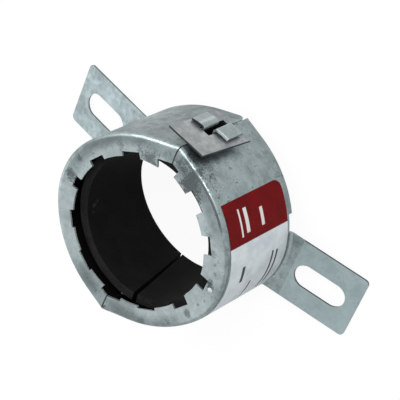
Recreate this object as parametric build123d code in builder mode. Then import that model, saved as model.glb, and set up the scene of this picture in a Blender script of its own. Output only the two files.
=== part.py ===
"""Pipe fire collar: two pressed sheet halves locked around a two-layer intumescent liner.

Units are millimetres. +Z runs along the pipe, away from the wall, and z = 0 is the rear rim
that faces the wall. +X points along one fixing tab, and the two locks lie near +Y and -Y.
"""
import os
from math import atan2, cos, degrees, hypot, radians, sin, tan

from build123d import *

os.makedirs("parts", exist_ok=True)

# Steel sheet and the height of the collar
sheet = 0.8
collar_height = 40.0
front_bend_radius = 2.0

# Plan outline of one half, on the outer face, from the upper lock clockwise to the lower lock.
# The collar is slightly out of round: pinched at the locks and fuller beside the tabs.
lock_point = (2.18, 40.39)
start_heading = -18.68
start_straight = 9.53
shoulder_radius = 42.36
shoulder_turn = 47.98
tab_side_radius = 31.52
tab_side_turn = 52.82
end_straight = 12.12

# Castellated front flange, with a faint crease that leans its inner part back
crease_inset = 3.4
notch_floor_inset = 6.7
tooth_tip_inset = 10.2
crease_drop = 0.35
outer_notch_width = 8.1
inner_notch_width = 7.0
mid_notch_width = 4.9
mid_notch_shift = 1.0
inner_notch_distance = 19.6
outer_notch_distance = 39.4
end_notch_distance = 53.0

# Oval that the tips of the teeth stand on, clear of the bore
tip_clearance = 0.7
tip_oval_long_radius = 29.7
tip_oval_turn = 50.0
tip_oval_centre = (-1.1, -1.3)

# Fixing tabs, sprung back from square so that their tips stand behind the rear rim
tab_lean = 9.0
tab_root_inset = 1.02
tab_length = 32.6
tab_width = 26.6
tab_corner_radius = 1.8
tab_inner_bend = 1.2
root_height = 5.0
relief_width = 6.2
relief_depth = 1.9
slot_width = 9.4
slot_inner_reach = 10.9
slot_outer_reach = 22.6

# Lock plates, each turned a little in its own plane, and the tongue under each one
plate_heading = -0.7
plate_turn = 5.5
plate_left = 7.4
plate_right = 9.9
plate_front_gap = 3.6
plate_front_z = collar_height - plate_front_gap
plate_rear_z = 11.4
layer_gap = 0.05
window_left = 2.6
window_right = 2.2
window_front_z = 25.8
window_rear_z = 13.3
tongue_reach = 6.8
tongue_front_gap = 5.8
tongue_front_z = collar_height - tongue_front_gap
tongue_rear_z = 12.0
tongue_side_gap = 0.2
tongue_window_right = 5.4
joint_gap = 0.3
end_corner_radius = 3.5

# Locking flaps that pass up through the windows and fold over the plate
flap_bend_radius = 0.95
left_flap_front_z = 25.3
left_flap_rear_z = 16.7
left_flap_stem = 1.7
left_flap_reach = 7.3
left_flap_crest = 2.75
left_flap_tip = 2.35
right_flap_front_z = 22.7
right_flap_rear_z = 14.0
right_flap_stem = 1.25
right_flap_reach = 7.4
right_flap_crest = 3.1
right_flap_tip = 2.75
right_start_cutback = 1.7

# Intumescent liner of two strips, one inside the other
bore_radius = 27.7
liner_layer = 3.5
liner_layer_gap = 0.05
liner_front_gap = 4.7
liner_front_z = collar_height - liner_front_gap
outer_layer_setback = 6.0
inner_rear_rise = 5.9
seam_rear_gap = 0.6
seam_front_gap = 2.0
seam_rear_angle = -90.0
seam_front_angle = -77.0
outer_seam_gap = 0.5

# Label on the right half
label_thickness = 0.15
label_gap = 0.02
label_top_angle = 51.0
label_bottom_angle = -42.0
label_rear_z = 3.2
label_front_gap = 2.6
label_front_z = collar_height - label_front_gap
label_corner_radius = 3.5


# Outline geometry: points, arc centres and headings along one half
def ahead(point, heading, distance):
    return (point[0] + distance * cos(radians(heading)), point[1] + distance * sin(radians(heading)))


def right_of(point, heading, distance):
    return ahead(point, heading - 90, distance)


shoulder_start = ahead(lock_point, start_heading, start_straight)
shoulder_centre = right_of(shoulder_start, start_heading, shoulder_radius)
tab_side_heading = start_heading - shoulder_turn
tab_side_start = right_of(shoulder_centre, tab_side_heading, -shoulder_radius)
tab_side_centre = right_of(tab_side_start, tab_side_heading, tab_side_radius)
flank_heading = tab_side_heading - tab_side_turn
flank_start = right_of(tab_side_centre, flank_heading, -tab_side_radius)

# The flank has the radius that lets a straight end, tangent to it, arrive at the lower lock
flank_span = (-lock_point[0] - flank_start[0], -lock_point[1] - flank_start[1])
flank_inward = right_of((0, 0), flank_heading, 1)
span_inward = flank_span[0] * flank_inward[0] + flank_span[1] * flank_inward[1]
flank_radius = (hypot(flank_span[0], flank_span[1]) ** 2 - end_straight ** 2) / (2 * span_inward)
flank_centre = right_of(flank_start, flank_heading, flank_radius)
end_offset = (-lock_point[0] - flank_centre[0], -lock_point[1] - flank_centre[1])
end_bearing = degrees(atan2(end_offset[1], end_offset[0]) - atan2(flank_radius, end_straight))
flank_turn = (flank_heading - end_bearing) % 360
end_heading = flank_heading - flank_turn
end_start = right_of(flank_centre, end_heading, -flank_radius)
outline_arcs = (
    (shoulder_centre, shoulder_radius, start_heading, shoulder_turn),
    (tab_side_centre, tab_side_radius, tab_side_heading, tab_side_turn),
    (flank_centre, flank_radius, flank_heading, flank_turn),
)
shoulder_length = shoulder_radius * radians(shoulder_turn)
mid_length = start_straight + shoulder_length + tab_side_radius * radians(90 + tab_side_heading)
tab_root_x = tab_side_centre[0] + tab_side_radius - tab_root_inset
slot_inner_x = tab_root_x + slot_inner_reach
slot_outer_x = tab_root_x + slot_outer_reach


def outline_at(distance):
    """Point on the outer face and the heading there, measured along the sheet from the start."""
    if distance < start_straight:
        return ahead(lock_point, start_heading, distance), start_heading
    run = distance - start_straight
    for centre, radius, heading, turn in outline_arcs:
        if run < radius * radians(turn):
            here = heading - run / radians(1) / radius
            return right_of(centre, here, -radius), here
        run -= radius * radians(turn)
    return ahead(end_start, end_heading, run), end_heading


def wall_section(point, heading):
    """Section of band, front bend and flange, square to the outline, two flats inside the bend."""
    outward = (-sin(radians(heading)), cos(radians(heading)), 0)
    forward = (cos(radians(heading)), sin(radians(heading)), 0)
    section_plane = Plane(origin=(point[0], point[1], 0), x_dir=outward, z_dir=forward)
    bend_z = collar_height - front_bend_radius
    bend_inside = (front_bend_radius - sheet) * cos(radians(45))
    under_z = collar_height - sheet
    with BuildSketch(section_plane) as section:
        with BuildLine():
            Line((-sheet, 0), (0, 0))
            Line((0, 0), (0, bend_z))
            CenterArc((-front_bend_radius, bend_z), front_bend_radius, 0, 90)
            Line((-front_bend_radius, collar_height), (-crease_inset, collar_height))
            Line((-crease_inset, collar_height), (-tooth_tip_inset, collar_height - crease_drop))
            Line((-tooth_tip_inset, collar_height - crease_drop), (-tooth_tip_inset, under_z - crease_drop))
            Line((-tooth_tip_inset, under_z - crease_drop), (-crease_inset, under_z))
            Line((-crease_inset, under_z), (-front_bend_radius, under_z))
            Line((-front_bend_radius, under_z), (bend_inside - front_bend_radius, bend_z + bend_inside))
            Line((bend_inside - front_bend_radius, bend_z + bend_inside), (-sheet, bend_z))
            Line((-sheet, bend_z), (-sheet, 0))
        make_face()
    return section.sketch


def inside_region(inset):
    """Plan face of everything inside the outline, moved in by the inset."""
    first = right_of(lock_point, start_heading, inset)
    last = right_of(ahead(end_start, end_heading, end_straight), end_heading, inset)
    with BuildSketch() as region:
        with BuildLine():
            Line((0, 0), first)
            Line(first, right_of(shoulder_start, start_heading, inset))
            for centre, radius, heading, turn in outline_arcs:
                CenterArc(centre, radius - inset, heading + 90, -turn)
            Line(right_of(end_start, end_heading, inset), last)
            Line(last, (0, 0))
        make_face()
    return region.sketch


# Lock frames: x along the plate away from the joint, y outward, z along the collar
upper_lock = Plane(
    origin=(lock_point[0], lock_point[1], 0),
    x_dir=(cos(radians(plate_heading)), sin(radians(plate_heading)), 0),
    z_dir=(0, 0, 1),
)
lower_lock = Plane(
    origin=(-lock_point[0], -lock_point[1], 0),
    x_dir=(-cos(radians(plate_heading)), -sin(radians(plate_heading)), 0),
    z_dir=(0, 0, 1),
)
rise = end_heading + 180 - plate_heading
fall = plate_heading - start_heading
tongue_top = layer_gap + sheet
tongue_bend_x = tongue_top / tan(radians(rise))
plate_under = tongue_top + layer_gap
plate_top = plate_under + sheet
rise_mid = (sheet / 2 * sin(radians(rise)), -sheet / 2 * cos(radians(rise)))
fall_mid = (-sheet / 2 * sin(radians(fall)), -sheet / 2 * cos(radians(fall)))


def on_rise(x):
    """Mid line of the sheet that climbs to the joint."""
    return (x, rise_mid[1] + (x - rise_mid[0]) * tan(radians(rise)))


def on_fall(x):
    """Mid line of the sheet that starts at the joint."""
    return (x, fall_mid[1] - (x - fall_mid[0]) * tan(radians(fall)))


# One tab and its slot, on the leaning plane of the tab's rear face
tab_plane = Plane(
    origin=(tab_root_x, 0, 0),
    x_dir=(cos(radians(tab_lean)), 0, -sin(radians(tab_lean))),
    z_dir=(sin(radians(tab_lean)), 0, cos(radians(tab_lean))),
)

# Stretches of sheet along the outline, and the plan regions inside its two faces
wall_stretches = [extrude(wall_section(lock_point, start_heading), start_straight)]
for centre, radius, heading, turn in outline_arcs:
    section = wall_section(right_of(centre, heading, -radius), heading)
    wall_stretches.append(revolve(section, Axis((centre[0], centre[1], 0), (0, 0, -1)), turn))
wall_stretches.append(extrude(wall_section(end_start, end_heading), end_straight))
outer_region = inside_region(0)
inner_region = inside_region(sheet)
inner_prism = extrude(inner_region, collar_height, both=True)
with BuildSketch(Plane.XY.offset(collar_height - 3)) as tip_oval:
    with Locations(Location((tip_oval_centre[0], tip_oval_centre[1], 0), (0, 0, tip_oval_turn))):
        Ellipse(tip_oval_long_radius, bore_radius + tip_clearance)
tip_opening = extrude(tip_oval.sketch, 6)

with BuildPart() as tab_with_root:
    # A low stretch of band and a wide plate on the leaning plane, joined by rounded roots
    with BuildSketch(Plane.XY.offset(-root_height)):
        add(outer_region)
        add(inner_region, mode=Mode.SUBTRACT)
        with Locations((tab_root_x, 0)):
            Rectangle(20, tab_width + 8, mode=Mode.INTERSECT)
    extrude(amount=2 * root_height)
    with BuildSketch(tab_plane):
        with Locations((tab_length / 2 - 5, 0)):
            Rectangle(tab_length + 10, tab_width + 8)
    extrude(amount=sheet)
    add(inner_prism, mode=Mode.SUBTRACT)
    with BuildSketch(tab_plane):
        Rectangle(20, tab_width + 10)
    extrude(amount=-2 * root_height, mode=Mode.SUBTRACT)
    front_root = tab_with_root.edges().filter_by(
        lambda edge: edge.center().X < tab_root_x + 4
        and abs(tab_plane.to_local_coords(edge.center()).Z - sheet) < 0.2
        and abs(edge.center().Y) < tab_width / 2 + 3
        and edge.length > 2
    )
    fillet(front_root, tab_inner_bend)
    rear_root = tab_with_root.edges().filter_by(
        lambda edge: edge.center().X < tab_root_x + 2
        and abs(tab_plane.to_local_coords(edge.center()).Z) < 0.05
        and abs(edge.center().Y) < tab_width / 2 + 3
        and edge.length > 2
    )
    fillet(rear_root, tab_inner_bend + sheet)

    # Trimmed to the tab's own outline
    with BuildSketch(tab_plane) as tab_outline:
        with Locations((tab_length / 2 - 5, 0)):
            Rectangle(tab_length + 10, tab_width)
        fillet(tab_outline.vertices().group_by(Axis.X)[-1], tab_corner_radius)
    extrude(amount=3 * root_height, both=True, mode=Mode.INTERSECT)

with BuildPart() as half_shell:
    # Band, front bend and flange, one stretch of the outline after another
    add(wall_stretches)

    # Rim opened for the tab and its rounded root
    with BuildSketch(Plane.XY.offset(-root_height)):
        with Locations((tab_root_x, 0)):
            Rectangle(20, tab_width)
    extrude(amount=2 * root_height, mode=Mode.SUBTRACT)
    add(tab_with_root.part)

    # Reliefs in the rear rim beside the tab
    for side in (-1, 1):
        with BuildSketch(Plane.YZ.offset(tab_root_x - 12)):
            with Locations((side * (tab_width + relief_width) / 2, 0)):
                Rectangle(relief_width, 2 * relief_depth)
        extrude(amount=20, mode=Mode.SUBTRACT)

    # Slot, cut along the collar's axis
    with BuildSketch(Plane.XY):
        with Locations(((slot_inner_x + slot_outer_x) / 2, 0)):
            SlotCenterToCenter(slot_outer_x - slot_inner_x, slot_width)
    extrude(amount=20, both=True, mode=Mode.SUBTRACT)

    # Notches that leave the flange's teeth
    mid_notch_length = mid_length + mid_notch_shift
    notch_places = [(mid_notch_length, mid_notch_width)]
    for side in (-1, 1):
        notch_places.append((mid_notch_length + side * inner_notch_distance, inner_notch_width))
        notch_places.append((mid_notch_length + side * outer_notch_distance, outer_notch_width))
        notch_places.append((mid_notch_length + side * (end_notch_distance + 6), 12))
    with BuildSketch(Plane.XY.offset(collar_height - 3)):
        for distance, width in notch_places:
            point, heading = outline_at(distance)
            middle = right_of(point, heading, notch_floor_inset + 6)
            with Locations(Location((middle[0], middle[1], 0), (0, 0, heading))):
                Rectangle(width, 12)
    extrude(amount=6, mode=Mode.SUBTRACT)

    # Ends of the half, trimmed square to the lock plates
    with BuildSketch(upper_lock):
        with Locations((joint_gap / 2 - 10, -10)):
            Rectangle(20, 40)
    extrude(amount=3 * collar_height, both=True, mode=Mode.SUBTRACT)
    with BuildSketch(lower_lock):
        with Locations((10 - joint_gap / 2, -10)):
            Rectangle(20, 40)
    extrude(amount=3 * collar_height, both=True, mode=Mode.SUBTRACT)

    # Rounded rear corner at the end of the sheet
    end_face_plane = Plane(
        origin=lower_lock.from_local_coords((-joint_gap / 2, 0, 0)),
        x_dir=lower_lock.x_dir,
        z_dir=-lower_lock.y_dir,
    )
    with BuildSketch(end_face_plane):
        with Locations((-end_corner_radius / 2 + 0.5, end_corner_radius / 2 - 0.5)):
            Rectangle(end_corner_radius + 1, end_corner_radius + 1)
        with Locations((-end_corner_radius, end_corner_radius)):
            Circle(end_corner_radius, mode=Mode.SUBTRACT)
    extrude(amount=5, both=True, mode=Mode.SUBTRACT)

    # Start cut back where the other half's tongue dips below the plate
    with BuildSketch(upper_lock.offset(tongue_rear_z - tongue_side_gap)):
        with Locations((right_start_cutback - 5, -1)):
            Rectangle(10, 6)
    extrude(amount=tongue_front_z - tongue_rear_z + 2 * tongue_side_gap, mode=Mode.SUBTRACT)

    # Flap that rises through both windows and folds away from the joint
    with BuildSketch(upper_lock.offset(right_flap_rear_z)):
        with BuildLine() as right_flap_path:
            Polyline(
                on_fall(right_start_cutback + 2.5),
                on_fall(right_flap_stem),
                (right_flap_stem, right_flap_crest),
                (right_flap_stem + 3.2, right_flap_crest),
                (right_flap_reach, right_flap_tip),
            )
            fillet(right_flap_path.vertices().sort_by(Axis.X)[0:2], flap_bend_radius)
        trace(line_width=sheet)
    extrude(amount=right_flap_front_z - right_flap_rear_z)

    # Tongue that carries on over the other half's start
    rise_inner_x = sheet * sin(radians(rise)) + (
        layer_gap + sheet * cos(radians(rise))
    ) / tan(radians(rise))
    tongue_root_x = -3.0
    tongue_root_outer = tongue_root_x * tan(radians(rise))
    tongue_root_inner = tongue_root_outer - sheet / cos(radians(rise))
    with BuildSketch(lower_lock.offset(tongue_rear_z)):
        with BuildLine():
            Polyline(
                (tongue_root_x, tongue_root_outer),
                (tongue_bend_x, tongue_top),
                (tongue_reach, tongue_top),
                (tongue_reach, layer_gap),
                (rise_inner_x, layer_gap),
                (tongue_root_x, tongue_root_inner),
                close=True,
            )
        make_face()
    extrude(amount=tongue_front_z - tongue_rear_z)

    # Window in the tongue
    with BuildSketch(lower_lock.offset(window_rear_z)):
        with Locations(((tongue_window_right - left_flap_stem) / 2, 0)):
            Rectangle(tongue_window_right + left_flap_stem, 8)
    extrude(amount=window_front_z - window_rear_z, mode=Mode.SUBTRACT)

    # Flap cut from the tongue's window and folded back over the plate
    with BuildSketch(lower_lock.offset(left_flap_rear_z)):
        with BuildLine() as left_flap_path:
            Polyline(
                on_rise(-left_flap_stem - 2.0),
                on_rise(-left_flap_stem),
                (-left_flap_stem, left_flap_crest),
                (-left_flap_stem - 2.6, left_flap_crest),
                (-left_flap_reach, left_flap_tip),
            )
            fillet(left_flap_path.vertices().sort_by(Axis.X)[-2:], flap_bend_radius)
        trace(line_width=sheet)
    extrude(amount=left_flap_front_z - left_flap_rear_z)

# Both halves are one pressing, and their teeth are trimmed to the oval together
with BuildPart() as right_half_shell:
    add(half_shell.part)
    add(tip_opening, mode=Mode.SUBTRACT)
right_half_shell.part.label = "right_half_shell"

with BuildPart() as left_half_shell:
    add(half_shell.part.rotate(Axis.Z, 180))
    add(tip_opening, mode=Mode.SUBTRACT)
left_half_shell.part.label = "left_half_shell"

# Axes square to the plates, through the middles of their windows
window_middle = ((window_right - window_left) / 2, 0, (window_front_z + window_rear_z) / 2)
upper_plate_axis = Axis(upper_lock.from_local_coords(window_middle), upper_lock.y_dir)
lower_plate_axis = Axis(lower_lock.from_local_coords(window_middle), lower_lock.y_dir)

with BuildPart() as square_plate:
    with BuildSketch(upper_lock.offset(plate_rear_z)):
        with Locations(((plate_right - plate_left) / 2, (plate_under + plate_top) / 2)):
            Rectangle(plate_left + plate_right, sheet)
    extrude(amount=plate_front_z - plate_rear_z)
    with BuildSketch(upper_lock.offset(window_rear_z)):
        with Locations(((window_right - window_left) / 2, plate_top)):
            Rectangle(window_left + window_right, 4)
    extrude(amount=window_front_z - window_rear_z, mode=Mode.SUBTRACT)

with BuildPart() as upper_lock_plate:
    add(square_plate.part.rotate(upper_plate_axis, -plate_turn))
upper_lock_plate.part.label = "upper_lock_plate"

# The lower plate is the same one, put on end for end
with BuildPart() as lower_lock_plate:
    add(upper_lock_plate.part.rotate(Axis.Z, 180).rotate(lower_plate_axis, 180))
lower_lock_plate.part.label = "lower_lock_plate"

with BuildPart() as inner_liner_strip:
    with BuildSketch(Plane.XY):
        Circle(bore_radius + liner_layer)
        Circle(bore_radius, mode=Mode.SUBTRACT)
    extrude(amount=liner_front_z)
    # Slanted butt seam
    seam_mid = radians((seam_rear_angle + seam_front_angle) / 2)
    seam_swing = radians(seam_front_angle - seam_rear_angle) * bore_radius
    seam_plane = Plane(
        origin=(bore_radius * cos(seam_mid), bore_radius * sin(seam_mid), liner_front_z / 2),
        x_dir=(-sin(seam_mid), cos(seam_mid), 0),
        z_dir=(cos(seam_mid), sin(seam_mid), 0),
    )
    with BuildSketch(seam_plane.offset(-3)):
        with BuildLine():
            Polyline(
                (-seam_swing * 0.6 - seam_rear_gap / 2, -liner_front_z * 0.6),
                (-seam_swing * 0.6 + seam_rear_gap / 2, -liner_front_z * 0.6),
                (seam_swing * 0.6 + seam_front_gap / 2, liner_front_z * 0.6),
                (seam_swing * 0.6 - seam_front_gap / 2, liner_front_z * 0.6),
                close=True,
            )
        make_face()
    extrude(amount=10, mode=Mode.SUBTRACT)

    # Rear edge, which meets the rear rim at the seam and stands in from it elsewhere
    with BuildSketch(Plane.YZ):
        with BuildLine():
            Polyline(
                (-bore_radius, 0),
                (0, inner_rear_rise),
                (collar_height, inner_rear_rise),
                (collar_height, -1),
                (-bore_radius, -1),
                close=True,
            )
        make_face()
    extrude(amount=collar_height, both=True, mode=Mode.SUBTRACT)
inner_liner_strip.part.label = "inner_liner_strip"

with BuildPart() as outer_liner_strip:
    outer_inner_radius = bore_radius + liner_layer + liner_layer_gap
    with BuildSketch(Plane.XY):
        Circle(outer_inner_radius + liner_layer)
        Circle(outer_inner_radius, mode=Mode.SUBTRACT)
        with Locations((-outer_inner_radius, 0)):
            Rectangle(12, outer_seam_gap, mode=Mode.SUBTRACT)
    extrude(amount=liner_front_z - outer_layer_setback)
outer_liner_strip.part.label = "outer_liner_strip"

# Label, bent round the band between two angles
label_top_turn = label_top_angle - 90
label_bottom_turn = label_bottom_angle - 90
label_inner = label_gap
label_outer = label_gap + label_thickness
with BuildPart() as label_sheet:
    label_arcs = (
        (shoulder_centre, shoulder_radius, label_top_turn, tab_side_heading),
        (tab_side_centre, tab_side_radius, tab_side_heading, flank_heading),
        (flank_centre, flank_radius, flank_heading, label_bottom_turn),
    )
    with BuildSketch(Plane.XY.offset(label_rear_z)):
        with BuildLine():
            for centre, radius, heading, last_heading in label_arcs:
                CenterArc(centre, radius + label_outer, heading + 90, last_heading - heading)
            Line(
                right_of(flank_centre, label_bottom_turn, -flank_radius - label_outer),
                right_of(flank_centre, label_bottom_turn, -flank_radius - label_inner),
            )
            for centre, radius, heading, last_heading in reversed(label_arcs):
                CenterArc(centre, radius + label_inner, last_heading + 90, heading - last_heading)
            Line(
                right_of(shoulder_centre, label_top_turn, -shoulder_radius - label_inner),
                right_of(shoulder_centre, label_top_turn, -shoulder_radius - label_outer),
            )
        make_face()
    extrude(amount=label_front_z - label_rear_z)
    label_corners = label_sheet.edges().filter_by(
        lambda edge: abs(edge.length - label_thickness) < 0.01 and edge.center().Z < label_rear_z + 1
    )
    fillet(label_corners, label_corner_radius)
label_sheet.part.label = "label_sheet"

export_step(right_half_shell.part, "parts/right_half_shell.step")
export_step(left_half_shell.part, "parts/left_half_shell.step")
export_step(upper_lock_plate.part, "parts/upper_lock_plate.step")
export_step(lower_lock_plate.part, "parts/lower_lock_plate.step")
export_step(inner_liner_strip.part, "parts/inner_liner_strip.step")
export_step(outer_liner_strip.part, "parts/outer_liner_strip.step")
export_step(label_sheet.part, "parts/label_sheet.step")
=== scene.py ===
import math
import bpy
import numpy as np
from mathutils import Matrix, Vector


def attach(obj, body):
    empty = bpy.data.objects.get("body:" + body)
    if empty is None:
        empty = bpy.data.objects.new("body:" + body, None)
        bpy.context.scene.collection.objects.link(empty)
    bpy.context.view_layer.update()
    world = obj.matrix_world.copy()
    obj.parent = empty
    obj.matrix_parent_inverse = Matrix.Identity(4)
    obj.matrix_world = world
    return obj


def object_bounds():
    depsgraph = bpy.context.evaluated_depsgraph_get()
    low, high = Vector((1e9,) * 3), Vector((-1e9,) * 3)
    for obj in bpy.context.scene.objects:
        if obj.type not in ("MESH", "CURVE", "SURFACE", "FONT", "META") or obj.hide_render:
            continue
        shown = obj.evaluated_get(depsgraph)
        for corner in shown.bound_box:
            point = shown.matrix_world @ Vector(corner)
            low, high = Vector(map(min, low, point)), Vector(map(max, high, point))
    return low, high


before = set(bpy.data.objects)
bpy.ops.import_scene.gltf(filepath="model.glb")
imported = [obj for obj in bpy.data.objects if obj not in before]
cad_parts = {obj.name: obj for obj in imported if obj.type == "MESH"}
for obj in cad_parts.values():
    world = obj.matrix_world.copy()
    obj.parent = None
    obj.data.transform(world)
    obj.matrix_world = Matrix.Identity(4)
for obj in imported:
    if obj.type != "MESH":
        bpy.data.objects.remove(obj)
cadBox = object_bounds()
print("collar frame loaded")

# Camera of the photograph: place in metres, and its right, up and back directions
photoView = {
    "place": (0.21410, 0.33783, 0.44365),
    "right": (0.72626, 0.32720, -0.60455),
    "up": (-0.58514, 0.75582, -0.29386),
    "back": (0.36078, 0.56716, 0.74038),
    "lens": 144.0, "sensor": 36.0,
    "near": 0.01, "far": 10.0,
}


def placeCamera(view):
    data = bpy.data.cameras.new("photoCamera")
    data.lens = view["lens"]
    data.sensor_width = view["sensor"]
    data.clip_start = view["near"]
    data.clip_end = view["far"]
    camera = bpy.data.objects.new("photoCamera", data)
    turn = Matrix((view["right"], view["up"], view["back"])).transposed()
    camera.matrix_world = Matrix.Translation(view["place"]) @ turn.to_4x4()
    bpy.context.scene.collection.objects.link(camera)
    bpy.context.scene.camera = camera


placeCamera(photoView)


# A new node, with values for its inputs by name or number
def addNode(tree, kind, inputs=None, **settings):
    node = tree.nodes.new(kind)
    for key, value in settings.items():
        setattr(node, key, value)
    for key, value in (inputs or {}).items():
        node.inputs[key].default_value = value
    return node


def startMaterial(name):
    material = bpy.data.materials.new(name)
    material.use_nodes = True
    tree = material.node_tree
    shader = tree.nodes["Principled BSDF"]
    spot = addNode(tree, "ShaderNodeTexCoord")
    return material, tree, shader, spot.outputs["Object"]


# A plain value is set on the socket, and an output is linked to it
def feed(tree, socket, value):
    if isinstance(value, (int, float, tuple)):
        socket.default_value = value
    else:
        tree.links.new(value, socket)


def calc(tree, operation, first, second=0.0):
    node = addNode(tree, "ShaderNodeMath", operation=operation)
    feed(tree, node.inputs[0], first)
    feed(tree, node.inputs[1], second)
    return node.outputs[0]


def times(tree, first, *others):
    for other in others:
        first = calc(tree, "MULTIPLY", first, other)
    return first


def plus(tree, first, *others):
    for other in others:
        first = calc(tree, "ADD", first, other)
    return first


def highest(tree, first, *others):
    for other in others:
        first = calc(tree, "MAXIMUM", first, other)
    return first


# All that a mask leaves over
def without(tree, mask):
    return calc(tree, "SUBTRACT", 1.0, mask)


# A soft step from 0 at start to 1 at full. It falls where full lies below start.
def fade(tree, value, start, full):
    limits = {"From Min": start, "From Max": full}
    node = addNode(tree, "ShaderNodeMapRange", limits, interpolation_type="SMOOTHSTEP")
    tree.links.new(value, node.inputs["Value"])
    return node.outputs["Result"]


# 1 between low and high, with soft ends
def between(tree, value, low, high, soft):
    rising = fade(tree, value, low - soft, low + soft)
    return calc(tree, "SUBTRACT", rising, fade(tree, value, high - soft, high + soft))


# 1 inside a box with soft sides
def inBox(tree, place, low, high, soft):
    sides = (between(tree, value, start, end, soft) for value, start, end in zip(place, low, high))
    return times(tree, *sides)


# Inputs 6 and 7 of the node are its two colours, and output 2 is the mixed one
def mixColour(tree, share, first, second):
    node = addNode(tree, "ShaderNodeMix", data_type="RGBA")
    for index, value in ((0, share), (6, first), (7, second)):
        feed(tree, node.inputs[index], value)
    return node.outputs[2]


def addNoise(tree, spot, scale, detail, rough=0.5):
    settings = {"Scale": scale, "Detail": detail, "Roughness": rough}
    node = addNode(tree, "ShaderNodeTexNoise", settings)
    tree.links.new(spot, node.inputs["Vector"])
    return node.outputs["Fac"]


def addBump(tree, height, strength, depth, below=None):
    node = addNode(tree, "ShaderNodeBump", {"Strength": strength, "Distance": depth})
    tree.links.new(height, node.inputs["Height"])
    if below is not None:
        tree.links.new(below, node.inputs["Normal"])
    return node.outputs["Normal"]


def splitXYZ(tree, vector):
    node = addNode(tree, "ShaderNodeSeparateXYZ")
    tree.links.new(vector, node.inputs[0])
    return node.outputs["X"], node.outputs["Y"], node.outputs["Z"]


# A blotch is full inside its core and gone at its rim, and a ragged noise shifts the rim.
# All three are shares of its radius.
blotchShape = {"core": 0.5, "rim": 1.9, "ragged": 5.0}


# Blotches, each given by its middle, its radius and its strength
def addBlotches(tree, spot, ragged, blotches):
    total = 0.0
    for middle, radius, strength in blotches:
        node = addNode(tree, "ShaderNodeVectorMath", {1: middle}, operation="DISTANCE")
        tree.links.new(spot, node.inputs[0])
        shift = times(tree, ragged, radius * blotchShape["ragged"])
        away = plus(tree, node.outputs["Value"], shift)
        patch = fade(tree, away, radius * blotchShape["rim"], radius * blotchShape["core"])
        total = highest(tree, total, times(tree, patch, strength))
    return total


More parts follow.
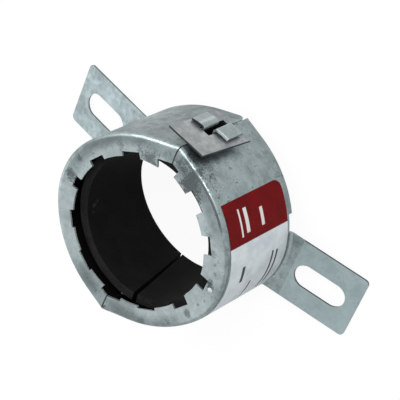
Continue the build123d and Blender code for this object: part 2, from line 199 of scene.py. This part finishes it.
# A noise is its scale, detail and roughness, and a range is the start and full of a soft step.
# A share is how much of a colour is mixed in, and places and depths are in metres.
steelLook = {
    "pale": (0.385, 0.46, 0.465, 1), "dull": (0.192, 0.235, 0.24, 1),
    # The clean zinc also gives painted highlights, and the speck colour also painted shade and
    # shadow
    "cleanAndHighlight": (0.64, 0.705, 0.715, 1), "speckAndShade": (0.06, 0.07, 0.075, 1),
    # The near-black colour is painted shade for the inner face behind the liner and the slot
    "edge": (0.045, 0.052, 0.054, 1), "shadeBlack": (0.006, 0.006, 0.006, 1),
    "flap": (0.52, 0.545, 0.55, 1),
    "rightTab": (0.315, 0.39, 0.41, 1), "leftTab": (0.245, 0.295, 0.315, 1),
    "cloud": (42.0, 2.0), "mottle": (230.0, 5.0, 0.62), "fine": (1500.0, 3.0),
    "spangleScale": 520.0,
    "cloudShare": 0.42, "mottleShare": 0.40, "flakeShare": 0.10, "fineShare": 0.08,
    "toneRange": (0.32, 0.68), "speckRange": (0.335, 0.385), "speckShare": 0.7,
    "raggedFine": 0.8, "raggedMiddle": 0.9,
    "metal": 0.88, "specular": 0.5,
    "roughDull": 0.50, "roughPale": 0.30, "flapPolish": -0.12,
    "dents": (75.0, 2.0), "dentStrength": 0.5, "dentDepth": 0.0007,
    "grain": (5200.0, 1.0), "grainStrength": 0.10, "grainDepth": 0.0001, "mottleHeight": 1.5,
    # Finish of each part of a half shell
    "tabShare": 0.6, "flapShare": 0.3,
    # The teeth's share is a painted highlight
    "leftBendShare": 0.75, "teethHighlightShare": 0.24, "cleanerShare": 0.3,
    "ringDull": 0.26, "bandDull": 0.22, "topShade": 0.28, "upperLeftDull": 0.24,
    # The run-out, seam and crease shares darken with painted shade
    "runOutShade": 0.65, "seamShade": 0.85, "creaseShade": 0.85,
    "toothEdge": 0.6, "leftTabEdge": 0.5, "rightTabMore": 0.4,
    # The two shares on the next line are painted highlights on the flaps
    "foldHighlightShare": 0.6, "lipHighlightShare": 0.8,
    # Boxes as low corner, high corner and soft side: the slot between the flaps, and the
    # joint at the front. Both are painted dark as shade.
    "slot": ((-0.0028, 0.0370, 0.0084), (0.0027, 0.0421, 0.0270), 0.0002),
    "seam": ((0.0018, 0.0330, 0.0355), (0.0025, 0.0440, 0.0402), 0.00015),
    # Across the left flap's fold, where a painted highlight lies
    "highlightFoldRange": (-0.0021, -0.0011, 0.0007),
    # Facing steps for the lock plate's sides, which get painted shade
    "plateSideShade": (0.9, 0.6),
    # Marks on the flange and its bend, and a streak of painted shadow on the band under the lock
    # plate's right edge
    "blotches": (
        ((-0.0354, 0.0007, 0.040), 0.0017, 0.8), ((-0.0335, 0.0095, 0.040), 0.0009, 0.7),
        ((-0.0202, 0.0267, 0.040), 0.0014, 0.5), ((-0.0119, 0.0293, 0.040), 0.0011, 0.6),
        ((-0.0079, 0.0308, 0.040), 0.0009, 0.6), ((0.0075, 0.0338, 0.040), 0.0045, 0.6),
        ((0.0118, 0.0325, 0.040), 0.0055, 0.88), ((-0.0062, 0.0287, 0.040), 0.0028, 0.75),
        ((0.0337, 0.0024, 0.040), 0.0012, 0.9), ((0.0300, 0.0135, 0.040), 0.0010, 0.5),
        ((0.0305, -0.0140, 0.040), 0.0008, 0.6), ((0.0150, -0.0330, 0.040), 0.0016, 0.55),
        ((0.0010, -0.0345, 0.040), 0.0012, 0.5), ((0.0260, 0.0193, 0.040), 0.0012, 0.5),
        ((0.0252, -0.0236, 0.040), 0.0014, 0.6), ((0.0086, -0.0337, 0.040), 0.0018, 0.5),
        # From the second entry on this line on, the entries are painted shadow under the lock
        # plate's right edge
        ((-0.0012, -0.0380, 0.039), 0.0012, 0.9), ((0.0078, 0.0384, 0.0350), 0.0030, 0.8),
        ((0.0105, 0.0376, 0.0330), 0.0028, 0.7), ((0.0110, 0.0374, 0.0280), 0.0022, 0.6),
        ((0.0115, 0.0372, 0.0230), 0.0020, 0.5), ((0.0118, 0.0371, 0.0180), 0.0018, 0.4),
        ((0.0325, 0.0108, 0.040), 0.0005, 0.5), ((0.0339, 0.0077, 0.040), 0.0005, 0.5),
        ((0.0344, -0.0048, 0.040), 0.0005, 0.5), ((0.0329, -0.0080, 0.040), 0.0005, 0.5),
    ),
    # Broad parts of the flange that are cleaner or duller than the rest
    "cleaner": (
        ((0.0335, 0.0110, 0.040), 0.0080, 0.8), ((0.0335, -0.0110, 0.040), 0.0090, 1.0),
        ((-0.0270, -0.0230, 0.040), 0.0075, 0.8), ((-0.0337, -0.0095, 0.040), 0.0080, 0.8),
    ),
    "duller": (
        ((0.0060, -0.0325, 0.040), 0.0050, 0.42), ((-0.0105, -0.0300, 0.040), 0.0050, 0.38),
        ((0.0175, 0.0335, 0.040), 0.0045, 0.30), ((0.0210, 0.0300, 0.040), 0.0035, 0.18),
        ((-0.0070, 0.0290, 0.040), 0.0030, 0.25), ((0.0092, 0.0301, 0.040), 0.0040, 0.28),
        ((-0.0269, 0.0218, 0.040), 0.0040, 0.15), ((-0.0095, 0.0340, 0.040), 0.0040, 0.18),
    ),
}
plateLook = dict(
    steelLook, pale=(0.40, 0.415, 0.42, 1), dull=(0.22, 0.23, 0.235, 1),
    cloud=(60.0, 2.0), mottle=(330.0, 5.0, 0.62), dentDepth=0.0003,
)

# Parts of a half shell. Each is a product of soft steps, as what is read, its start and its
# full value: metres for a place, and 1 for a face that looks straight along an axis.
shellParts = {
    "tab": (("aside", 0.0425, 0.0430),),
    "flap": (("away", 0.0423, 0.0425),),
    "right": (("x", -0.001, 0.001),),
    "flange": (("normalZ", 0.80, 0.95), ("z", 0.0390, 0.0395)),
    "outer": (("out", 0.0305, 0.0350),),
    "front": (("z", 0.0375, 0.0382),),
    "farLeft": (("x", -0.020, -0.034), ("y", 0.010, -0.002)),
    "upperLeft": (("y", 0.004, 0.014), ("x", -0.006, -0.018)),
    "leftTop": (("normalY", 0.45, 0.95), ("x", 0.004, -0.002)),
    # Where the right half's front bend runs out beside the label, painted dark as shade
    "runOut": (
        ("normalZ", 0.00, 0.08), ("normalZ", 0.44, 0.36),
        ("z", 0.0372, 0.0378), ("x", 0.006, 0.020), ("y", 0.020, 0.010),
    ),
    # Where the front bend of the right half meets its flange, painted dark as shade in the crease
    "crease": (
        ("normalZ", 0.69, 0.75), ("normalZ", 1.00, 0.94), ("z", 0.0388, 0.0392),
        ("x", 0.0020, 0.0070), ("x", 0.0325, 0.0275), ("y", 0.0, 0.006),
    ),
    "cutSide": (("facesZ", 0.5, 0.2),),
    "tooth": (("z", 0.0388, 0.0390), ("out", 0.0366, 0.0362)),
    "inner": (("outward", -0.004, -0.010), ("z", 0.0393, 0.0389)),
    "facesFront": (("normalZ", 0.4, 0.9),),
    "rightFlap": (("across", 0.0005, 0.0012),),
    "lip": (("z", 0.0219, 0.0223),),
}


# Clouds, mottling and the spangle's flakes together choose between dull and pale zinc
def addZinc(tree, spot, look):
    noise = {name: addNoise(tree, spot, *look[name]) for name in ("cloud", "mottle", "fine")}
    spangle = addNode(tree, "ShaderNodeTexVoronoi", {"Scale": look["spangleScale"]})
    tree.links.new(spot, spangle.inputs["Vector"])
    flake = addNode(tree, "ShaderNodeSeparateColor")
    tree.links.new(spangle.outputs["Color"], flake.inputs[0])
    noise["flake"] = flake.outputs[0]
    names = ("cloud", "mottle", "flake", "fine")
    share = plus(tree, *(times(tree, noise[name], look[name + "Share"]) for name in names))
    tone = fade(tree, share, *look["toneRange"])
    zinc = mixColour(tree, tone, look["dull"], look["pale"])
    specks = fade(tree, times(tree, noise["fine"], noise["mottle"]), *look["speckRange"])
    zinc = mixColour(tree, times(tree, specks, look["speckShare"]), zinc, look["speckAndShade"])
    return zinc, tone, noise


# What the parts are found by: places, and the way that a face looks. Across is x at the upper
# lock and minus x at the lower one, which is the same lock turned half a turn. Outward is
# below zero on a face that looks at the pipe.
def readPlaces(tree, spot):
    x, y, z = splitXYZ(tree, spot)
    facing = addNode(tree, "ShaderNodeNewGeometry")
    normalX, normalY, normalZ = splitXYZ(tree, facing.outputs["True Normal"])
    squares = plus(tree, times(tree, x, x), times(tree, y, y))
    return {
        "x": x, "y": y, "z": z, "normalY": normalY, "normalZ": normalZ,
        "aside": calc(tree, "ABSOLUTE", x),
        "away": calc(tree, "ABSOLUTE", y),
        "across": times(tree, x, calc(tree, "SIGN", y)),
        "out": calc(tree, "SQRT", squares),
        "outward": plus(tree, times(tree, normalX, x), times(tree, normalY, y)),
        "facesZ": calc(tree, "ABSOLUTE", normalZ),
    }


# A mask for each entry of shellParts, and the ones that follow from them
def findParts(tree, spot, places, look):
    part = {}
    for name, steps in shellParts.items():
        fades = [fade(tree, places[key], start, full) for key, start, full in steps]
        part[name] = times(tree, *fades)
    part["ring"] = times(tree, part["flange"], part["outer"])
    part["cleaner"] = times(tree, part["ring"], addBlotches(tree, spot, 0.0, look["cleaner"]))
    part["notTab"] = without(tree, part["tab"])
    part["notFlap"] = without(tree, part["flap"])
    part["notFlange"] = without(tree, part["flange"])
    return part


# The tabs are flatter in tone than the band. The bend at the far left is made paler, some
# of the ring is rubbed clean, and the teeth get a painted highlight.
def cleanShell(tree, part, zinc, look):
    tabTone = mixColour(tree, part["right"], look["leftTab"], look["rightTab"])
    zinc = mixColour(tree, times(tree, part["tab"], look["tabShare"]), zinc, tabTone)
    zinc = mixColour(tree, times(tree, part["flap"], look["flapShare"]), zinc, look["flap"])
    leftBend = times(tree, part["front"], part["notFlange"], part["farLeft"])
    teeth = times(tree, part["flange"], without(tree, part["outer"]))
    for area, share in ((leftBend, "leftBendShare"), (teeth, "teethHighlightShare"),
                        (part["cleaner"], "cleanerShare")):
        zinc = mixColour(tree, times(tree, area, look[share]), zinc, look["cleanAndHighlight"])
    return zinc


# The ring and the band are dull all over, and the left half's top gets painted shade. On that lie
# the marks, a painted shadow beside the lock plate, and painted shade in the run-out, seam and
# crease.
def darkenShell(tree, spot, noise, places, part, zinc, look):
    ring = calc(tree, "SUBTRACT", part["ring"], part["cleaner"])
    band = times(tree, part["notFlange"], part["notTab"])
    # Painted shade on the up-facing top of the left half
    top = times(tree, part["leftTop"], part["notFlap"], without(tree, part["front"]))
    upperLeft = times(tree, part["upperLeft"], part["ring"])
    dull = plus(
        tree, times(tree, ring, look["ringDull"]), times(tree, band, look["bandDull"]),
        times(tree, part["flange"], addBlotches(tree, spot, 0.0, look["duller"])),
        times(tree, top, look["topShade"]), times(tree, upperLeft, look["upperLeftDull"]),
    )
    rough = plus(tree, noise["mottle"], times(tree, noise["fine"], look["raggedFine"]))
    ragged = calc(tree, "SUBTRACT", rough, look["raggedMiddle"])
    seam = inBox(tree, (places["across"], places["away"], places["z"]), *look["seam"])
    dull = highest(
        tree, dull, times(tree, part["runOut"], look["runOutShade"]),
        addBlotches(tree, spot, ragged, look["blotches"]),
        times(tree, seam, look["seamShade"]), times(tree, part["crease"], look["creaseShade"]),
    )
    return mixColour(tree, dull, zinc, look["speckAndShade"])


# Sheared edges are pale on the teeth and dark round the tabs, most of all on the right one
def edgeShell(tree, part, zinc, look):
    toothEdge = times(tree, part["cutSide"], part["tooth"], look["toothEdge"])
    zinc = mixColour(tree, toothEdge, zinc, look["cleanAndHighlight"])
    dark = plus(tree, look["leftTabEdge"], times(tree, part["right"], look["rightTabMore"]))
    tabEdge = times(tree, part["cutSide"], part["tab"], dark)
    return mixColour(tree, tabEdge, zinc, look["edge"])


# The right flap's lip and front edge and the left flap's fold have painted highlights.
# The left flap's front edge has painted shade.
def edgeFlaps(tree, places, part, zinc, look):
    foldHighlight = between(tree, places["across"], *look["highlightFoldRange"])
    lip = times(tree, part["lip"], part["rightFlap"])
    lip = highest(tree, lip, times(tree, foldHighlight, look["foldHighlightShare"]))
    zinc = mixColour(tree, times(tree, part["flap"], lip, look["lipHighlightShare"]), zinc, look["cleanAndHighlight"])
    front = times(tree, part["flap"], part["facesFront"])
    frontTone = mixColour(tree, part["rightFlap"], look["edge"], look["cleanAndHighlight"])
    return mixColour(tree, front, zinc, frontTone)


def makeSteel(name, look, plate=False):
    material, tree, shader, spot = startMaterial(name)
    zinc, tone, noise = addZinc(tree, spot, look)
    places = readPlaces(tree, spot)
    metal, polish = look["metal"], 0.0
    if plate:
        # A lock plate's narrow sides face away from its thickness, which lies nearly along Y. They
        # are painted dark as shade in the gap under the plate's edges.
        side = fade(tree, calc(tree, "ABSOLUTE", places["normalY"]), *look["plateSideShade"])
        zinc = mixColour(tree, side, zinc, look["edge"])
    else:
        part = findParts(tree, spot, places, look)
        zinc = cleanShell(tree, part, zinc, look)
        zinc = darkenShell(tree, spot, noise, places, part, zinc, look)
        zinc = edgeShell(tree, part, zinc, look)
        # Painted shade: the inner face behind the liner and the slot between the flaps are painted
        # near black, without shine
        slot = inBox(tree, (places["x"], places["away"], places["z"]), *look["slot"])
        hidden = times(tree, part["inner"], part["notTab"], part["notFlap"])
        hidden = highest(tree, hidden, slot)
        zinc = mixColour(tree, hidden, zinc, look["shadeBlack"])
        shown = without(tree, hidden)
        metal = times(tree, shown, look["metal"])
        specular = times(tree, shown, look["specular"])
        tree.links.new(specular, shader.inputs["Specular IOR Level"])
        zinc = edgeFlaps(tree, places, part, zinc, look)
        polish = times(tree, part["flap"], look["flapPolish"])
    tree.links.new(zinc, shader.inputs["Base Color"])
    feed(tree, shader.inputs["Metallic"], metal)
    limits = {"To Min": look["roughDull"], "To Max": look["roughPale"]}
    rough = addNode(tree, "ShaderNodeMapRange", limits)
    tree.links.new(tone, rough.inputs["Value"])
    tree.links.new(plus(tree, rough.outputs["Result"], polish), shader.inputs["Roughness"])

    # Slow dents of thin sheet, with the zinc's own grain on top
    dents = addNoise(tree, spot, *look["dents"])
    grain = addNoise(tree, spot, *look["grain"])
    relief = plus(tree, grain, times(tree, noise["mottle"], look["mottleHeight"]))
    slow = addBump(tree, dents, look["dentStrength"], look["dentDepth"])
    quick = addBump(tree, relief, look["grainStrength"], look["grainDepth"], slow)
    tree.links.new(quick, shader.inputs["Normal"])
    return material


# The inner strip's front face, above frontRange, catches more light than its bore
linerLook = {
    "dark": (0.0016, 0.0016, 0.0016, 1), "light": (0.0040, 0.0040, 0.0040, 1),
    "frontDark": (0.006, 0.006, 0.006, 1), "frontLight": (0.014, 0.014, 0.014, 1),
    "fibre": (1300.0, 4.0), "broad": (140.0, 2.0), "shareRange": (0.4, 0.62),
    "frontRange": (0.0352, 0.03525),
    "rough": 0.85, "sheen": 0.12, "bumpStrength": 0.35, "bumpDepth": 0.0002,
    "scuff": (0.030, 0.030, 0.031, 1), "scuffMiddle": 0.5,
    "scuffs": (
        ((-0.0256, -0.0105, 0.0315), 0.0006, 0.8), ((-0.0260, -0.0094, 0.0297), 0.0005, 0.7),
        ((-0.0246, -0.0127, 0.0322), 0.0004, 0.6),
    ),
}


def makeLiner(look):
    material, tree, shader, spot = startMaterial("linerBlack")
    fibre = addNoise(tree, spot, *look["fibre"])
    broad = addNoise(tree, spot, *look["broad"])
    mean = times(tree, plus(tree, fibre, broad), 0.5)
    share = fade(tree, mean, *look["shareRange"])
    bore = mixColour(tree, share, look["dark"], look["light"])
    front = mixColour(tree, share, look["frontDark"], look["frontLight"])
    onFront = fade(tree, splitXYZ(tree, spot)[2], *look["frontRange"])
    whole = mixColour(tree, onFront, bore, front)
    ragged = calc(tree, "SUBTRACT", fibre, look["scuffMiddle"])
    scuffs = addBlotches(tree, spot, ragged, look["scuffs"])
    whole = mixColour(tree, scuffs, whole, look["scuff"])
    tree.links.new(whole, shader.inputs["Base Color"])
    shader.inputs["Roughness"].default_value = look["rough"]
    shader.inputs["Specular IOR Level"].default_value = look["sheen"]
    bump = addBump(tree, fibre, look["bumpStrength"], look["bumpDepth"])
    tree.links.new(bump, shader.inputs["Normal"])
    return material


# Red above the boundary angle and white below it, in radians about the pipe.
# Bars: lowest and highest angle, lowest and highest place along the pipe in metres.
labelLook = {
    "red": (0.115, 0.0012, 0.0020, 1), "deepRed": (0.085, 0.0010, 0.0015, 1),
    "white": (0.49, 0.51, 0.53, 1), "greyWhite": (0.40, 0.42, 0.445, 1),
    "paleInk": (0.48, 0.47, 0.46, 1), "darkInk": (0.045, 0.050, 0.055, 1),
    "boundary": 0.476, "soft": 0.003, "rough": 0.55, "sheen": 0.06,
    "scuff": (160.0, 4.0, 0.6), "scuffRange": (0.35, 0.7),
    "ripple": (120.0, 2.0), "rippleStrength": 0.3, "rippleDepth": 0.0002,
    "barSoftAngle": 0.004, "barSoftPlace": 0.0001,
    "paleBars": (
        (0.54, 0.80, 0.0295, 0.0304), (0.56, 0.79, 0.0255, 0.0274),
        (0.56, 0.73, 0.0168, 0.0185),
    ),
    "darkBars": (
        (-0.17, 0.25, 0.0086, 0.0097), (-0.21, 0.26, 0.0113, 0.0124),
        (0.08, 0.25, 0.0284, 0.0301), (-0.34, 0.02, 0.0214, 0.0224),
    ),
}


def addBars(tree, angle, height, bars, look):
    total = 0.0
    for low, high, rear, front in bars:
        inAngle = between(tree, angle, low, high, look["barSoftAngle"])
        inPlace = between(tree, height, rear, front, look["barSoftPlace"])
        total = plus(tree, total, times(tree, inAngle, inPlace))
    return total


def makeLabel(look):
    material, tree, shader, spot = startMaterial("labelFilm")
    x, y, z = splitXYZ(tree, spot)
    angle = calc(tree, "ARCTAN2", y, x)
    soft = look["soft"]
    share = fade(tree, angle, look["boundary"] - soft, look["boundary"] + soft)
    scuff = fade(tree, addNoise(tree, spot, *look["scuff"]), *look["scuffRange"])
    white = mixColour(tree, scuff, look["white"], look["greyWhite"])
    red = mixColour(tree, scuff, look["red"], look["deepRed"])
    paleBars = addBars(tree, angle, z, look["paleBars"], look)
    darkBars = addBars(tree, angle, z, look["darkBars"], look)
    red = mixColour(tree, paleBars, red, look["paleInk"])
    white = mixColour(tree, darkBars, white, look["darkInk"])
    tree.links.new(mixColour(tree, share, white, red), shader.inputs["Base Color"])
    shader.inputs["Roughness"].default_value = look["rough"]
    shader.inputs["Specular IOR Level"].default_value = look["sheen"]
    ripple = addNoise(tree, spot, *look["ripple"])
    bump = addBump(tree, ripple, look["rippleStrength"], look["rippleDepth"])
    tree.links.new(bump, shader.inputs["Normal"])
    return material


# Every slot of a CAD node gets the material
def dress(names, material):
    for name in names:
        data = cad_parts[name].data
        if not data.materials:
            data.materials.append(material)
        for index in range(len(data.materials)):
            data.materials[index] = material


dress(("right_half_shell", "left_half_shell"), makeSteel("galvanisedSteel", steelLook))
dress(("upper_lock_plate", "lower_lock_plate"), makeSteel("lockPlateSteel", plateLook, True))
dress(("inner_liner_strip", "outer_liner_strip"), makeLiner(linerLook))
dress(("label_sheet",), makeLabel(labelLook))
print("materials on the collar")


studio = {
    "worldLevel": 0.88, "worldTint": (0.95, 1.0, 1.0, 1), "white": (1, 1, 1, 1),
    "floorSize": 1.6, "floorGap": 0.0002, "floorWhite": 0.93,
    "floorColour": (0.90, 0.90, 0.90, 1), "floorRough": 0.9,
    "lamps": {
        "keyLamp": {"place": (0.18, 0.98, 0.85), "size": 0.62, "power": 9.5},
        "leftLamp": {"place": (-0.85, 0.50, 0.45), "size": 0.60, "power": 5.5},
        "tabLamp": {"place": (-0.80, -0.60, 0.50), "size": 0.35, "power": 0.6},
    },
}


def addLamp(name, lamp):
    data = bpy.data.lights.new(name, "AREA")
    data.shape = "DISK"
    data.size = lamp["size"]
    data.energy = lamp["power"]
    holder = bpy.data.objects.new(name, data)
    holder.location = lamp["place"]
    holder.rotation_euler = Vector(lamp["place"]).to_track_quat("Z", "Y").to_euler()
    bpy.context.scene.collection.objects.link(holder)


# 1 for the rays that should find a plain white background
def whiteRays(tree):
    rays = addNode(tree, "ShaderNodeLightPath")
    names = ("Is Camera Ray", "Is Glossy Ray", "Is Transmission Ray")
    return highest(tree, *(rays.outputs[name] for name in names))


# The world lights the collar at its level and tint, and is plain white where it is seen
def setWorld(look):
    world = bpy.data.worlds.new("studioWorld")
    world.use_nodes = True
    bpy.context.scene.world = world
    tree = world.node_tree
    shade = tree.nodes["Background"]
    seen = whiteRays(tree)
    tint = mixColour(tree, seen, look["worldTint"], look["white"])
    tree.links.new(tint, shade.inputs["Color"])
    level = look["worldLevel"]
    strength = plus(tree, level, times(tree, seen, 1.0 - level))
    tree.links.new(strength, shade.inputs["Strength"])


# Mostly plain white to the camera and to glossy and see-through rays, and a matte sheet elsewhere
def addFloor(look, height):
    data = bpy.data.meshes.new("studioFloor")
    half = look["floorSize"] / 2
    near = [(-half, -half, height), (half, -half, height)]
    far = [(half, half, height), (-half, half, height)]
    data.from_pydata(near + far, [], [(0, 1, 2, 3)])
    floor = bpy.data.objects.new("studioFloor", data)
    bpy.context.scene.collection.objects.link(floor)
    material, tree, shader, spot = startMaterial("floorWhite")
    shader.inputs["Base Color"].default_value = look["floorColour"]
    shader.inputs["Roughness"].default_value = look["floorRough"]
    glow = addNode(tree, "ShaderNodeEmission", {"Color": look["white"], "Strength": 1.0})
    blend = addNode(tree, "ShaderNodeMixShader")
    tree.links.new(times(tree, whiteRays(tree), look["floorWhite"]), blend.inputs[0])
    tree.links.new(shader.outputs[0], blend.inputs[1])
    tree.links.new(glow.outputs[0], blend.inputs[2])
    tree.links.new(blend.outputs[0], tree.nodes["Material Output"].inputs["Surface"])
    data.materials.append(material)


# The pressed pip on the flange beside a notch, in metres
pipLook = {
    "middle": (0.0347, 0.0006, 0.0400), "radius": 0.0009, "rise": 0.00034, "sunk": 0.00006,
    "rings": 14, "turns": 48,
}
# The pip's steel is painted near white: a painted highlight on the dome
pipHighlightLook = dict(
    steelLook, pale=(0.78, 0.80, 0.80, 1), dull=(0.55, 0.58, 0.58, 1),
    edge=(0.5, 0.5, 0.5, 1), blotches=(), ringDull=0.0,
)


# A profile turned about its own axis. Its height above the flange is the rise times the square
# of one minus the square of the share of its radius, and a flat base closes it in the sheet.
def addPip(look, material):
    rings, turns = look["rings"], look["turns"]
    share = np.linspace(0.0, 1.0, rings + 1)[1:]
    radius = np.append(share, 1.0) * look["radius"]
    height = np.append(look["rise"] * (1 - share ** 2) ** 2, -look["sunk"])
    angle = np.linspace(0.0, 2 * math.pi, turns, endpoint=False)
    around = np.stack([
        np.outer(radius, np.cos(angle)), np.outer(radius, np.sin(angle)),
        np.repeat(height[:, None], turns, axis=1),
    ], axis=-1).reshape(-1, 3)
    poles = np.array([[0.0, 0.0, look["rise"]], [0.0, 0.0, -look["sunk"]]])
    points = np.concatenate([around, poles]) + np.array(look["middle"])
    step = np.arange(turns)
    ahead = (step + 1) % turns
    top, base = len(around), len(around) + 1
    last = rings * turns
    # Fans close the top and the base, and four-sided faces join each ring to the next
    faces = np.stack([np.full(turns, top), step, ahead], axis=1).tolist()
    faces += np.stack([np.full(turns, base), last + ahead, last + step], axis=1).tolist()
    rows = (np.arange(rings) * turns)[:, None]
    corners = [rows + step, rows + turns + step, rows + turns + ahead, rows + ahead]
    faces += np.stack(corners, axis=-1).reshape(-1, 4).tolist()
    data = bpy.data.meshes.new("pressedPip")
    data.from_pydata(points.tolist(), [], faces)
    data.polygons.foreach_set("use_smooth", [True] * len(data.polygons))
    data.materials.append(material)
    pip = bpy.data.objects.new("pressedPip", data)
    bpy.context.scene.collection.objects.link(pip)
    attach(pip, "root")


addPip(pipLook, makeSteel("pipSteelHighlight", pipHighlightLook))
print("pressed pip on the flange")

for name, lamp in studio["lamps"].items():
    addLamp(name, lamp)
setWorld(studio)
addFloor(studio, cadBox[0][2] - studio["floorGap"])
bpy.context.scene.view_settings.view_transform = "Standard"
print("studio lit")
